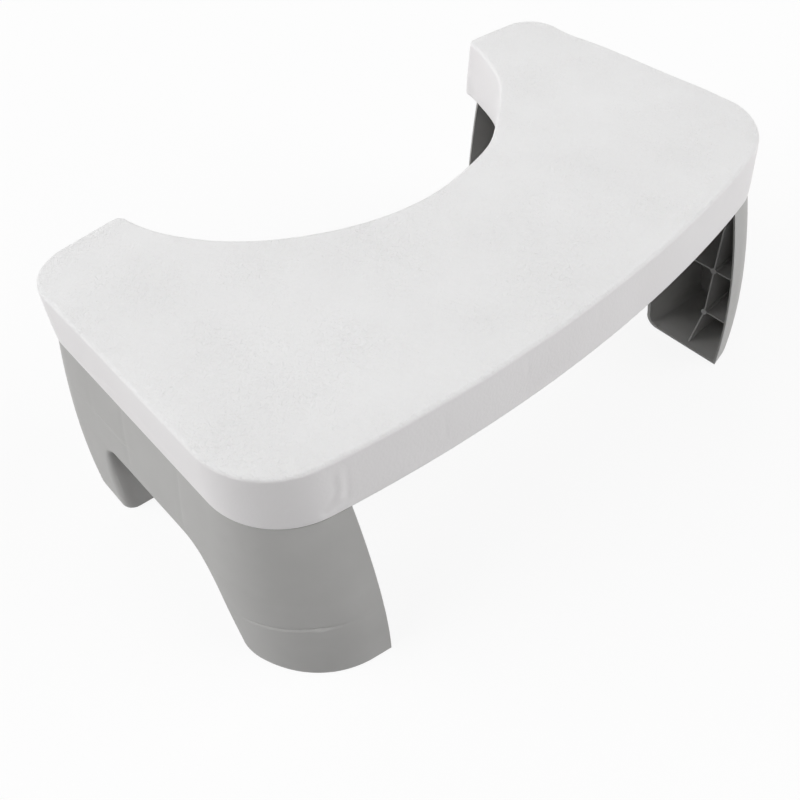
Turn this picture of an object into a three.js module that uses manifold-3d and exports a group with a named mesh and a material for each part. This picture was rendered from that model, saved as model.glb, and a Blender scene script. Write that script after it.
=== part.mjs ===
// Toilet footstool: a padded white deck with a curved cut-out for the toilet, on two folding grey legs.
// Millimetres, +Z up. +X is the right of someone who looks from the front, +Y points to the toilet.
// The origin is on the floor, under the middle of the stool.
import * as THREE from 'three';
import { mergeVertices } from 'three/addons/utils/BufferGeometryUtils.js';
import Module from 'manifold-3d';

const wasm = await Module();
wasm.setup();

// Driving sizes of the stool
const stoolHeight = 178;
const deckThickness = 41.9;
const deckHalfWidth = 227.3;
const deckSideEndY = 255.9;
const armEndRise = 6.6;
const frontBow = 26.7;
const frontCornerRadius = 52.7;
const rearCornerRadius = 31.3;
const tipRadius = 7.7;
const armWidth = 74.1;
const cutDepth = 124.9;
const cutCentreY = 265.3;

// Clearances
const seatGap = 0.3;
const overrun = 20;
const leastRadius = 0.5;

// Cover: the outer skin, with its hem turned under the tray
const coverThickness = 1.2;
const hemWidth = 12;
const crownRise = 0.6;
const crownInset = 20;
const topEdgeRadius = 5;
const sideDrawIn = 0.3;

// Tray: the stiff ribbed body of the deck
const trayTopThickness = 3;
const traySkirt = 2.5;
const foamThickness = 13;
const trayRib = 2;
const trayRibPitchX = 57;
const trayRibPitchY = 45;
const trayRibsEachSide = 3;
const bossRadius = 4.5;
const bossDepth = 14;

// Underside plate with its hinge lugs
const plateThickness = 3;
const barrelRadius = 6.5;
const hingeDrop = 10;
const lugLength = 8;
const knuckleLength = 15;
const hingeSideGap = 0.4;
const frontHingeY = 49;
const rearHingeInset = 41.9;

// Hinge pins and their rings
const pinRadius = 2.5;
const pinHeadRadius = 4.4;
const pinHeadThickness = 1.6;
const pinTail = 1.8;
const ringRadius = 4.8;
const ringThickness = 1;

// Screws that hold the plate
const screwRadius = 1.75;
const screwHeadRadius = 3.6;
const screwHeadDepth = 1.9;
const screwLength = 12;
const driveRadius = 1.3;
const driveDepth = 1.1;

// Legs
const legDepth = 54.3;
const legWall = 2.5;
const legInset = 0.8;
const frontFlare = 23.4;
const sideFlare = 14.6;
const rearFlare = 10.4;
const legTopPlate = 3;
const legFloor = 3.2;
const notchMargin = 1;
const archFrontY = 54.5;
const rearFootLength = 61.4;
const archPeakY = 99;
const archPeakHeight = 79;
const archRearHeight = 75.5;
const archRearRadius = 17;
const archCrestRound = 12;
const archDraft = 6;
const footCornerRadius = 11;
const legRib = 1.8;
const ribFrontY = 21;
const rearRibInset = 14.9;
const upperRibHeight = 75.3;
const upperRibSetback = 8;
const lowerRibHeight = 28.4;
const lowerRibSetback = 15.5;
const floorRibSetback = 4;
const ribBossRadius = 2.6;
const ribBossProud = 0.8;
const knuckleWeb = 7;

// Foot pads
const padProud = 1;
const padPocket = 1.5;
const padInset = 7;
const padFootMargin = 7;
const padOpenMargin = 6;

// Shares: the form of the flare, the places of the screws and of the hidden leg ribs
const flarePowerShare = 1.92;
const crownMidShare = 0.5;
const screwPlaceShares = [
  [0, 0.11], [0.42, 0.12], [0.87, 0.27], [0.895, 0.57], [0.87, 0.9],
];
const cutScrewShare = 0.5;
const archRibShares = [0.33, 0.75];
const archControlShares = [[0.146, 0.51], [0.506, 1]];
const cutPowerShare = 1.8;

// Counts of steps
const frontSteps = 7;
const cornerSteps = 5;
const tipSteps = 3;
const tipSearchSteps = 30;
const cutSteps = 10;
const archSteps = 6;
const legLevels = 7;
const roundSides = 16;
const screwSides = 10;

// Heights and lines worked out from the sizes
const cutHalfWidth = deckHalfWidth - armWidth;
const legOpenX = deckHalfWidth - legDepth;
const rearHingeY = deckSideEndY - rearHingeInset;
const archRearY = deckSideEndY - rearFootLength;
const ribRearY = deckSideEndY - rearRibInset;
const deckBottom = stoolHeight - deckThickness;
const legTop = deckBottom - seatGap;
const legBottom = padProud;
const hingeZ = deckBottom - hingeDrop;
const boreRadius = pinRadius + seatGap;
const trayInset = coverThickness + seatGap;
const foamTop = stoolHeight - coverThickness - seatGap;
const foamBottom = foamTop - foamThickness;
const trayTop = foamBottom - seatGap;
const trayBottom = deckBottom + coverThickness + seatGap;
const plateTop = deckBottom + plateThickness;
const plateInset = hemWidth + seatGap;
const topEdge = stoolHeight - crownRise;
const lugOffset = (knuckleLength + lugLength) / 2 + hingeSideGap;
const hingeStations = [['front', frontHingeY], ['rear', rearHingeY]];

const finishes = {
  cover: { color: 0xe9e8e8, roughness: 0.62, metalness: 0 },
  foam: { color: 0xd8d2bf, roughness: 0.95, metalness: 0 },
  tray: { color: 0xdcdcda, roughness: 0.55, metalness: 0 },
  leg: { color: 0x9b9a97, roughness: 0.5, metalness: 0 },
  rubber: { color: 0x4a4a4a, roughness: 0.85, metalness: 0 },
  steel: { color: 0xb8babd, roughness: 0.35, metalness: 1 },
};

// A point of the plan with the direction that faces out of the deck there.
function planPoint(x, y, nx, ny) {
  const size = Math.hypot(nx, ny);
  return { x, y, nx: nx / size, ny: ny / size };
}

// Points of a round corner, from one facing direction to the next.
function cornerArc(centre, radius, from, to, steps) {
  const points = [];
  for (let i = 0; i <= steps; i++) {
    const angle = from + (to - from) * i / steps;
    const nx = Math.cos(angle);
    const ny = Math.sin(angle);
    points.push(planPoint(centre.x + radius * nx, centre.y + radius * ny, nx, ny));
  }
  return points;
}

// A point of the cut-out's edge at an angle about its centre, moved into the deck by a distance.
function cutPoint(angle, away) {
  const c = Math.cos(angle);
  const s = Math.sin(angle);
  const spread = Math.abs(c) ** cutPowerShare + Math.abs(s) ** cutPowerShare;
  const along = c / spread ** (1 / cutPowerShare);
  const deep = s / spread ** (1 / cutPowerShare);
  const nx = -Math.sign(c) * Math.abs(along) ** (cutPowerShare - 1) / cutHalfWidth;
  const ny = -Math.sign(s) * Math.abs(deep) ** (cutPowerShare - 1) / cutDepth;
  const edge = planPoint(cutHalfWidth * along, cutCentreY + cutDepth * deep, nx, ny);
  return planPoint(edge.x - edge.nx * away, edge.y - edge.ny * away, edge.nx, edge.ny);
}

// The right half of the deck's outline, from the middle of the front round to the middle of the cut-out.
// inset moves it inwards.
function rightOutline(inset) {
  const bowRadius = (deckHalfWidth ** 2 + frontBow ** 2) / (2 * frontBow);
  const bowCentre = { x: 0, y: bowRadius };
  const end = Math.atan2(deckHalfWidth - cutHalfWidth, armEndRise);
  const endNormal = { x: Math.cos(end), y: Math.sin(end) };
  const endLine = endNormal.x * deckHalfWidth + endNormal.y * deckSideEndY;

  const frontRadius = Math.max(frontCornerRadius - inset, leastRadius);
  const frontX = deckHalfWidth - inset - frontRadius;
  const reach = bowRadius - inset - frontRadius;
  const frontCorner = { x: frontX, y: bowRadius - Math.sqrt(reach ** 2 - frontX ** 2) };
  const bowEnd = Math.atan2(frontCorner.y - bowCentre.y, frontCorner.x);

  const rearRadius = Math.max(rearCornerRadius - inset, leastRadius);
  const rearX = deckHalfWidth - inset - rearRadius;
  const rearCorner = { x: rearX, y: (endLine - inset - rearRadius - endNormal.x * rearX) / endNormal.y };

  const endRadius = Math.max(tipRadius - inset, leastRadius);
  const grow = inset + endRadius;
  let low = -Math.PI / 4;
  let high = Math.PI / 4;
  for (let i = 0; i < tipSearchSteps; i++) {
    const tried = cutPoint((low + high) / 2, grow);
    const over = endNormal.x * tried.x + endNormal.y * tried.y > endLine - grow;
    [low, high] = over ? [low, (low + high) / 2] : [(low + high) / 2, high];
  }
  const tipAngle = low;
  const tip = cutPoint(tipAngle, grow);

  const points = [];
  const middle = -Math.PI / 2;
  const bow = cornerArc(bowCentre, bowRadius - inset, middle, bowEnd, frontSteps);
  points.push(...bow.slice(0, -1));
  points.push(...cornerArc(frontCorner, frontRadius, bowEnd, 0, cornerSteps));
  points.push(...cornerArc(rearCorner, rearRadius, 0, end, cornerSteps));
  const facing = Math.atan2(tip.ny, tip.nx);
  const tipEnd = facing < 0 ? facing + 2 * Math.PI : facing;
  points.push(...cornerArc(tip, endRadius, end, tipEnd, tipSteps));
  for (let i = 1; i <= cutSteps; i++) {
    points.push(cutPoint(tipAngle + (middle - tipAngle) * i / cutSteps, inset));
  }
  return points;
}

// The whole outline, anticlockwise seen from above.
function planOutline(inset) {
  const right = rightOutline(inset);
  const left = right.slice(1, -1).reverse().map((p) => planPoint(-p.x, p.y, -p.nx, p.ny));
  return [...right, ...left];
}

// A closed mesh through rings of equal count: the first is capped from below, the last from above.
function ringSolid(rings) {
  const count = rings[0].length;
  const positions = rings.flat().flatMap((p) => [p.x, p.y, p.z]);
  const faces = [];
  const cap = (ring, first, up) => {
    const flat = ring.map((p) => new THREE.Vector2(p.x, p.y));
    for (const [i, j, k] of THREE.ShapeUtils.triangulateShape(flat, [])) {
      const turn = (flat[j].x - flat[i].x) * (flat[k].y - flat[i].y)
        - (flat[j].y - flat[i].y) * (flat[k].x - flat[i].x);
      const keep = (turn > 0) === up;
      faces.push(first + i, first + (keep ? j : k), first + (keep ? k : j));
    }
  };
  cap(rings[0], 0, false);
  for (let r = 0; r + 1 < rings.length; r++) {
    for (let i = 0; i < count; i++) {
      const low = r * count + i;
      const next = r * count + (i + 1) % count;
      faces.push(low, next, next + count);
      faces.push(low, next + count, low + count);
    }
  }
  cap(rings.at(-1), (rings.length - 1) * count, true);
  const geometry = new THREE.BufferGeometry();
  geometry.setAttribute('position', new THREE.Float32BufferAttribute(positions, 3));
  geometry.setIndex(faces);
  return geometry;
}

function outlineRing(inset, z) {
  return planOutline(inset).map((p) => ({ x: p.x, y: p.y, z }));
}

// A geometry as a solid for joining and cutting, and back again.
function toSolid(geometry) {
  const bare = geometry.clone();
  bare.deleteAttribute('normal');
  bare.deleteAttribute('uv');
  const merged = mergeVertices(bare);
  return new wasm.Manifold(new wasm.Mesh({
    numProp: 3,
    vertProperties: new Float32Array(merged.attributes.position.array),
    triVerts: new Uint32Array(merged.index.array),
  }));
}

function toGeometry(solid) {
  const mesh = solid.getMesh();
  const geometry = new THREE.BufferGeometry();
  geometry.setAttribute('position', new THREE.Float32BufferAttribute(mesh.vertProperties, 3));
  geometry.setIndex(Array.from(mesh.triVerts));
  geometry.computeVertexNormals();
  return geometry;
}

function joinAll(solids) {
  return solids.reduce((sum, solid) => sum.add(solid));
}

function box(x0, x1, y0, y1, z0, z1) {
  const geometry = new THREE.BoxGeometry(x1 - x0, y1 - y0, z1 - z0);
  geometry.translate((x0 + x1) / 2, (y0 + y1) / 2, (z0 + z1) / 2);
  return toSolid(geometry);
}

function prism(inset, z0, z1) {
  return toSolid(ringSolid([outlineRing(inset, z0), outlineRing(inset, z1)]));
}

// A round bar along Y between two places.
function barY(x, z, radius, y0, y1, sides = roundSides) {
  const geometry = new THREE.CylinderGeometry(radius, radius, y1 - y0, sides);
  geometry.translate(x, (y0 + y1) / 2, z);
  return toSolid(geometry);
}

function barZ(x, y, radius, z0, z1, sides) {
  const geometry = new THREE.CylinderGeometry(radius, radius, z1 - z0, sides);
  geometry.rotateX(Math.PI / 2);
  geometry.translate(x, y, (z0 + z1) / 2);
  return toSolid(geometry);
}

function barX(y, z, radius, x0, x1, sides) {
  const geometry = new THREE.CylinderGeometry(radius, radius, x1 - x0, sides);
  geometry.rotateZ(Math.PI / 2);
  geometry.translate((x0 + x1) / 2, y, z);
  return toSolid(geometry);
}

// A solid between two outlines drawn in Y and Z, one at each of two places along X.
function loftX(first, second, x0, x1) {
  const ring = (shape, x) => shape.getPoints(archSteps).reverse().map((p) => ({ x: p.x, y: p.y, z: x }));
  const geometry = ringSolid([ring(first, x0), ring(second, x1)]);
  const turn = new THREE.Matrix4().makeBasis(
    new THREE.Vector3(0, 1, 0),
    new THREE.Vector3(0, 0, 1),
    new THREE.Vector3(1, 0, 0),
  );
  return toSolid(geometry.applyMatrix4(turn));
}

// A shape drawn in X and Z, carried along Y.
function extrudeY(points, y0, y1) {
  const shape = new THREE.Shape(points.map(([x, z]) => new THREE.Vector2(x, z)));
  const geometry = new THREE.ExtrudeGeometry(shape, { depth: y1 - y0, bevelEnabled: false });
  geometry.rotateX(Math.PI / 2);
  geometry.translate(0, y1, 0);
  return toSolid(geometry);
}

// Where each screw goes: the middle ones once, the others on both sides. The last three follow the cut-out.
const screwPlaces = screwPlaceShares.flatMap(([shareX, shareY]) => {
  const x = shareX * deckHalfWidth;
  const y = shareY * deckSideEndY;
  return shareX > 0 ? [[x, y], [-x, y]] : [[x, y]];
});
for (const share of [-cutScrewShare, cutScrewShare, 0]) {
  const place = cutPoint(Math.PI * (share - 1) / 2, plateInset + 2 * bossRadius);
  screwPlaces.push([place.x, place.y]);
}

// Deck pieces

// The skin: inner face, hem and outer face as one closed sweep of the outline.
function topCover() {
  const innerTop = topEdge - coverThickness;
  const innerRadius = topEdgeRadius - coverThickness;
  const middle = deckBottom + deckThickness * crownMidShare;
  const quarter = Math.PI / 4;
  const soft = (radius, angle) => radius * (1 - Math.sin(angle));
  return ringSolid([
    outlineRing(crownInset, innerTop + crownRise),
    outlineRing(topEdgeRadius, innerTop),
    outlineRing(coverThickness + soft(innerRadius, quarter), innerTop - soft(innerRadius, quarter)),
    outlineRing(coverThickness, innerTop - innerRadius),
    outlineRing(coverThickness, middle),
    outlineRing(coverThickness, deckBottom + coverThickness),
    outlineRing(hemWidth, deckBottom + coverThickness),
    outlineRing(hemWidth, deckBottom),
    outlineRing(coverThickness, deckBottom),
    outlineRing(sideDrawIn, deckBottom + coverThickness),
    outlineRing(0, middle),
    outlineRing(0, topEdge - topEdgeRadius),
    outlineRing(soft(topEdgeRadius, quarter), topEdge - soft(topEdgeRadius, quarter)),
    outlineRing(topEdgeRadius, topEdge),
    outlineRing(crownInset, stoolHeight),
  ]);
}

// The foam has the crown and the soft edge that the skin follows.
function foamPad() {
  const edge = topEdge - coverThickness - seatGap;
  const radius = topEdgeRadius - coverThickness;
  const half = radius * (1 - Math.sin(Math.PI / 4));
  return ringSolid([
    outlineRing(trayInset + sideDrawIn, foamBottom),
    outlineRing(trayInset, foamBottom + radius),
    outlineRing(trayInset, edge - radius),
    outlineRing(trayInset + half, edge - half),
    outlineRing(trayInset + radius, edge),
    outlineRing(crownInset, edge + crownRise),
  ]);
}

// Skirt, top and a grid of ribs, with a boss over each screw.
function deckTray() {
  const ribBottom = plateTop + seatGap;
  const ribTop = trayTop - trayTopThickness / 2;
  const inside = prism(trayInset + traySkirt / 2, ribBottom, ribTop);
  const ribs = [];
  const reachY = deckSideEndY + armEndRise;
  const halfRib = trayRib / 2;
  for (let i = -trayRibsEachSide; i <= trayRibsEachSide; i++) {
    const x = i * trayRibPitchX;
    ribs.push(box(x - halfRib, x + halfRib, -overrun, reachY + overrun, ribBottom, ribTop));
  }
  for (let y = trayRibPitchY; y < reachY; y += trayRibPitchY) {
    ribs.push(box(-deckHalfWidth, deckHalfWidth, y - halfRib, y + halfRib, ribBottom, ribTop));
  }
  for (const [x, y] of screwPlaces) {
    ribs.push(barZ(x, y, bossRadius, ribBottom, ribTop, screwSides));
  }
  const holes = screwPlaces.map(([x, y]) => (
    barZ(x, y, screwRadius + seatGap, ribBottom - overrun, ribBottom + bossDepth, screwSides)
  ));
  const hollow = prism(trayInset + traySkirt, trayBottom - overrun, trayTop - trayTopThickness);
  const shell = prism(trayInset, trayBottom, trayTop).subtract(hollow);
  return toGeometry(shell.add(joinAll(ribs).intersect(inside)).subtract(joinAll(holes)));
}

// One lug: a barrel under the plate with a square neck.
function lug(side, y) {
  const x = side * legOpenX;
  const y0 = y - lugLength / 2;
  const y1 = y + lugLength / 2;
  const neck = box(x - barrelRadius, x + barrelRadius, y0, y1, hingeZ, deckBottom + plateThickness / 2);
  return neck.add(barY(x, hingeZ, barrelRadius, y0, y1));
}

function undersidePlate() {
  const lugs = [];
  const bores = [];
  for (const side of [-1, 1]) {
    for (const [, y] of hingeStations) {
      lugs.push(lug(side, y - lugOffset), lug(side, y + lugOffset));
      const reach = lugOffset + lugLength;
      bores.push(barY(side * legOpenX, hingeZ, boreRadius, y - reach, y + reach));
    }
  }
  const sinks = screwPlaces.map(([x, y]) => {
    const wide = screwHeadRadius + seatGap;
    const narrow = screwRadius + seatGap;
    const cone = new THREE.CylinderGeometry(narrow, wide, screwHeadDepth, screwSides);
    cone.rotateX(Math.PI / 2);
    cone.translate(x, y, deckBottom + screwHeadDepth / 2);
    const shank = barZ(x, y, narrow, deckBottom, plateTop + overrun, screwSides);
    return toSolid(cone).add(shank);
  });
  const plate = prism(plateInset, deckBottom, plateTop);
  return toGeometry(joinAll([plate, ...lugs]).subtract(joinAll([...bores, ...sinks])));
}

// A countersunk screw, head down, its tip in the boss.
function plateScrew() {
  const head = deckBottom + seatGap;
  const socket = head + driveDepth;
  const neck = head + screwHeadDepth;
  const tip = head + screwLength;
  const profile = [
    [0, socket], [driveRadius, socket], [driveRadius, head], [screwHeadRadius, head],
    [screwRadius, neck], [screwRadius, tip - screwRadius], [0, tip],
  ];
  const geometry = new THREE.LatheGeometry(profile.map(([r, z]) => new THREE.Vector2(r, z)), screwSides);
  geometry.rotateX(Math.PI / 2);
  return toGeometry(toSolid(geometry));
}

// A round piece about the Y axis, from its radius and place along Y.
function turned(profile) {
  const points = profile.map(([radius, y]) => new THREE.Vector2(radius, y));
  return toGeometry(toSolid(new THREE.LatheGeometry(points, roundSides)));
}

// A headed pin that lies along Y, with its middle at the hinge station.
function hingePin() {
  const face = lugOffset + lugLength / 2 + seatGap;
  const tail = face + ringThickness + pinTail;
  const profile = [
    [0, -face - pinHeadThickness], [pinHeadRadius, -face - pinHeadThickness], [pinHeadRadius, -face],
    [pinRadius, -face], [pinRadius, tail - seatGap], [pinRadius - seatGap, tail], [0, tail],
  ];
  return turned(profile);
}

function pinRing() {
  const start = lugOffset + lugLength / 2 + seatGap;
  const end = start + ringThickness;
  const profile = [
    [boreRadius, start], [ringRadius, start], [ringRadius, end], [boreRadius, end], [boreRadius, start],
  ];
  return turned(profile);
}

// Legs

// The stretch of the outline that a leg follows, from its front free edge to its rear free edge.
function legPath() {
  const right = rightOutline(legInset);
  const back = legOpenX - overrun / 2;
  const firstIndex = right.findIndex((p) => p.x > legOpenX);
  const shown = right.slice(firstIndex, frontSteps + 2 * (cornerSteps + 1));
  const before = right[firstIndex - 1];
  const first = shown[0];
  const share = (back - before.x) / (first.x - before.x);
  const start = planPoint(
    back,
    before.y + (first.y - before.y) * share,
    before.nx + (first.nx - before.nx) * share,
    before.ny + (first.ny - before.ny) * share,
  );
  const last = shown.at(-1);
  const endShare = (last.x - back) / last.ny;
  const finish = planPoint(last.x - last.ny * endShare, last.y + last.nx * endShare, last.nx, last.ny);
  return [start, ...shown, finish];
}

// A body between two heights that flares outwards towards the floor. wall moves it inwards.
function legBody(z0, z1, wall) {
  const path = legPath();
  const rings = [];
  for (let level = 0; level <= legLevels; level++) {
    const z = z0 + (z1 - z0) * level / legLevels;
    const down = Math.min(Math.max((legTop - z) / legTop, 0), 1);
    const flare = 1 - (1 - down) ** flarePowerShare;
    rings.push(path.map((p) => {
      const alongY = p.ny < 0 ? frontFlare : rearFlare;
      const x = p.x + p.nx * (sideFlare * flare - wall);
      const y = p.y + p.ny * (alongY * flare - wall);
      return { x, y, z };
    }));
  }
  const back = legOpenX - overrun - wall;
  for (const ring of rings) {
    ring[0].x = back;
    ring.at(-1).x = back;
  }
  return toSolid(ringSolid(rings));
}

// The arch between the feet, in Y and Z. draft makes the feet wider, grow moves the edge into the leg.
function archOutline(draft, grow) {
  const radius = footCornerRadius - grow;
  const cornerZ = legBottom + footCornerRadius;
  const frontEdge = archFrontY + draft;
  const rearEdge = archRearY - draft;
  const frontY = frontEdge - footCornerRadius;
  const rearY = rearEdge + footCornerRadius;
  const rise = archPeakHeight - draft - footCornerRadius;
  const run = archPeakY - frontEdge;
  const [first, second] = archControlShares;
  const crest = legBottom + archPeakHeight - draft + grow;
  const shape = new THREE.Shape();
  shape.moveTo(frontY, legBottom - overrun);
  shape.lineTo(frontY, cornerZ - radius);
  shape.absarc(frontY, cornerZ, radius, -Math.PI / 2, 0, false);
  shape.bezierCurveTo(
    frontEdge - grow + run * first[0], cornerZ + rise * first[1],
    frontEdge - grow + run * second[0], cornerZ + rise * second[1] + grow,
    archPeakY, crest,
  );
  const shoulder = rearEdge - archRearRadius;
  const shoulderZ = legBottom + archRearHeight - draft - archRearRadius;
  const wide = archRearRadius + grow;
  const turnY = archPeakY + archCrestRound;
  const away = Math.hypot(turnY - shoulder, crest - shoulderZ);
  const touch = Math.atan2(crest - shoulderZ, turnY - shoulder) - Math.acos(wide / away);
  const slope = -1 / Math.tan(touch);
  shape.quadraticCurveTo(turnY, crest, turnY + archCrestRound, crest + slope * archCrestRound);
  shape.lineTo(shoulder + wide * Math.cos(touch), shoulderZ + wide * Math.sin(touch));
  shape.absarc(shoulder, shoulderZ, wide, touch, 0, true);
  shape.lineTo(rearEdge + grow, cornerZ);
  shape.absarc(rearY, cornerZ, radius, Math.PI, Math.PI * 1.5, false);
  shape.lineTo(rearY, legBottom - overrun);
  return shape;
}

// The arch as a solid through the leg, with draft towards the free edges.
function archBody(grow) {
  const near = legOpenX - overrun / 2;
  const outside = deckHalfWidth + sideFlare;
  const far = outside + overrun;
  const draftAt = (x) => archDraft * (outside - x) / (outside - legOpenX);
  return loftX(archOutline(draftAt(near), grow), archOutline(draftAt(far), grow), near, far);
}

// An upright rib across the leg, its free edge set back as the wall flares.
function uprightRib(y, bottom) {
  const far = deckHalfWidth + sideFlare + overrun;
  const top = legTop - legTopPlate / 2;
  const edge = [
    [far, bottom], [legOpenX + floorRibSetback, bottom],
    [legOpenX + lowerRibSetback, legBottom + lowerRibHeight],
    [legOpenX + upperRibSetback, legBottom + upperRibHeight],
    [legOpenX, top], [far, top],
  ];
  const above = edge.filter(([, z], i) => z >= bottom || i < 2);
  return extrudeY(above, y - legRib / 2, y + legRib / 2);
}

function shortRib(y) {
  const far = deckHalfWidth + sideFlare + overrun;
  const top = legTop - legTopPlate / 2;
  const low = legBottom + upperRibHeight;
  const edge = [[far, low], [legOpenX + upperRibSetback, low], [legOpenX, top], [far, top]];
  return extrudeY(edge, y - legRib / 2, y + legRib / 2);
}

function legRibs() {
  const far = deckHalfWidth + sideFlare + overrun;
  const backY = deckSideEndY + rearFlare + overrun;
  const half = legRib / 2;
  const upper = legBottom + upperRibHeight;
  const lower = legBottom + lowerRibHeight;
  const floor = legBottom + legFloor / 2;
  const upperX = legOpenX + upperRibSetback;
  const lowerX = legOpenX + lowerRibSetback;
  const ribs = [
    uprightRib(ribFrontY, floor),
    uprightRib(ribRearY, floor),
    box(upperX, far, -overrun, backY, upper - half, upper + half),
    box(lowerX, far, -frontFlare, ribFrontY, lower - half, lower + half),
    box(lowerX, far, ribRearY, backY, lower - half, lower + half),
  ];
  for (const share of archRibShares) {
    ribs.push(shortRib(archFrontY + (archRearY - archFrontY) * share));
  }
  for (const y of [ribFrontY, ribRearY]) {
    ribs.push(barX(y, upper, ribBossRadius, upperX - ribBossProud, far, screwSides));
    ribs.push(barX(y, lower, ribBossRadius, lowerX - ribBossProud, far, screwSides));
  }
  return joinAll(ribs);
}

// The leg's own barrels under its top plate, and the notches that the deck's lugs pass.
function legKnuckle(y) {
  const y0 = y - knuckleLength / 2;
  const y1 = y + knuckleLength / 2;
  const web = box(legOpenX, legOpenX + knuckleWeb, y0, y1, hingeZ, legTop);
  return web.add(barY(legOpenX, hingeZ, barrelRadius, y0, y1));
}

function lugNotch(y) {
  const half = lugLength / 2 + hingeSideGap;
  const depth = legOpenX + barrelRadius + notchMargin;
  return box(legOpenX - overrun, depth, y - half, y + half, legTop - 2 * hingeDrop, legTop + overrun);
}

// A foot pad's outline is the foot's own, drawn in.
function padBody(front, z0, z1, shrink) {
  const inset = padInset + shrink;
  const body = legBody(z0, z1, inset);
  const margin = padFootMargin + shrink;
  const xLow = legOpenX + padOpenMargin + shrink;
  const xHigh = deckHalfWidth + sideFlare;
  const yLow = front ? -frontFlare : archRearY + footCornerRadius + margin / 2;
  const yHigh = front ? archFrontY - footCornerRadius - margin / 2 : deckSideEndY + rearFlare + armEndRise;
  return body.intersect(box(xLow, xHigh, yLow, yHigh, z0, z1));
}

function rightLeg() {
  const far = deckHalfWidth + sideFlare + overrun;
  const clip = box(legOpenX, far, -frontFlare - overrun, deckSideEndY + rearFlare + overrun, 0, legTop);
  const outer = legBody(legBottom, legTop, 0).intersect(clip);
  const hollow = legBody(legBottom + legFloor, legTop - legTopPlate, legWall);
  const archWall = archBody(legWall).intersect(outer);
  const ribs = legRibs().intersect(outer);
  let leg = outer.subtract(hollow).add(archWall).add(ribs).subtract(archBody(0));
  for (const [, y] of hingeStations) {
    leg = leg.subtract(lugNotch(y - lugOffset)).subtract(lugNotch(y + lugOffset));
    leg = leg.add(legKnuckle(y));
    const reach = lugOffset + lugLength;
    leg = leg.subtract(barY(legOpenX, hingeZ, boreRadius, y - reach, y + reach));
  }
  for (const front of [true, false]) {
    leg = leg.subtract(padBody(front, legBottom - overrun, legBottom + padPocket, 0));
  }
  return leg;
}

function footPad(front) {
  return padBody(front, 0, legBottom + padPocket - seatGap, seatGap);
}

// Putting it together

function mirrored(solid) {
  return solid.mirror([1, 0, 0]);
}

function piece(name, geometry, finish) {
  const mesh = new THREE.Mesh(geometry, new THREE.MeshStandardMaterial(finishes[finish]));
  mesh.name = name;
  return mesh;
}

const deck = new THREE.Group();
deck.add(piece('top_cover', topCover(), 'cover'));
deck.add(piece('foam_pad', foamPad(), 'foam'));
deck.add(piece('deck_tray', deckTray(), 'tray'));
deck.add(piece('underside_plate', undersidePlate(), 'leg'));
screwPlaces.forEach(([x, y], index) => {
  const screw = piece(`plate_screw_${index + 1}`, plateScrew(), 'steel');
  screw.position.set(x, y, 0);
  deck.add(screw);
});

const legSolid = rightLeg();
const frontPadSolid = footPad(true);
const rearPadSolid = footPad(false);
const legs = new THREE.Group();
for (const [side, sign] of [['left', -1], ['right', 1]]) {
  const place = (solid) => toGeometry(sign < 0 ? mirrored(solid) : solid);
  legs.add(piece(`${side}_leg`, place(legSolid), 'leg'));
  legs.add(piece(`${side}_front_foot_pad`, place(frontPadSolid), 'rubber'));
  legs.add(piece(`${side}_rear_foot_pad`, place(rearPadSolid), 'rubber'));
  for (const [station, y] of hingeStations) {
    for (const [part, geometry] of [['hinge_pin', hingePin()], ['pin_ring', pinRing()]]) {
      const mesh = piece(`${side}_${station}_${part}`, geometry, 'steel');
      mesh.position.set(sign * legOpenX, y, hingeZ);
      deck.add(mesh);
    }
  }
}

// The plan is drawn from the middle of the deck's front edge, and moved to put the origin under its middle.
const stool = new THREE.Group();
stool.add(deck, legs);
const reach = new THREE.Box3().setFromObject(stool);
stool.position.y = -(reach.min.y + reach.max.y) / 2;

export default stool;
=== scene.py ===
# Toilet footstool: the visible pieces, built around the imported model.
# Forms are worked out in millimetres on the plan of the deck, where y = 0 is the middle of its front edge,
# and are turned into metres in the model's own frame when a mesh is made.
import math

import bpy
import numpy as np
from mathutils import Matrix, Vector, geometry, noise


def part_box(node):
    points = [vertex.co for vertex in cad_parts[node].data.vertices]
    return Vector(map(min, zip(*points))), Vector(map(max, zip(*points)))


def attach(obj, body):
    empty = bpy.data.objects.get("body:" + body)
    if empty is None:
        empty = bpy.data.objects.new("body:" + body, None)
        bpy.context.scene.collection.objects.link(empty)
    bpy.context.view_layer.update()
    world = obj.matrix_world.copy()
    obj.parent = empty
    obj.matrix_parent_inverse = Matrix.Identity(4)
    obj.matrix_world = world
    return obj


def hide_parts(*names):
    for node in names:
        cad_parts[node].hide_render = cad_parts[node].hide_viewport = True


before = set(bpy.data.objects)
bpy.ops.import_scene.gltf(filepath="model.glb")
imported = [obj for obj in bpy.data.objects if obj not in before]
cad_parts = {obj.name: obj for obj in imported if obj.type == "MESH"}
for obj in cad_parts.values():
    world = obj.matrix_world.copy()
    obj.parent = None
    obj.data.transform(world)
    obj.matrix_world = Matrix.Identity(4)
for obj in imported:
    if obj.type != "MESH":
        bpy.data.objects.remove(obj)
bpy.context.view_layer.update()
PLAN_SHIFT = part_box("top_cover")[0].y
MM = 0.001
OVERRUN = 20.0

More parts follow.
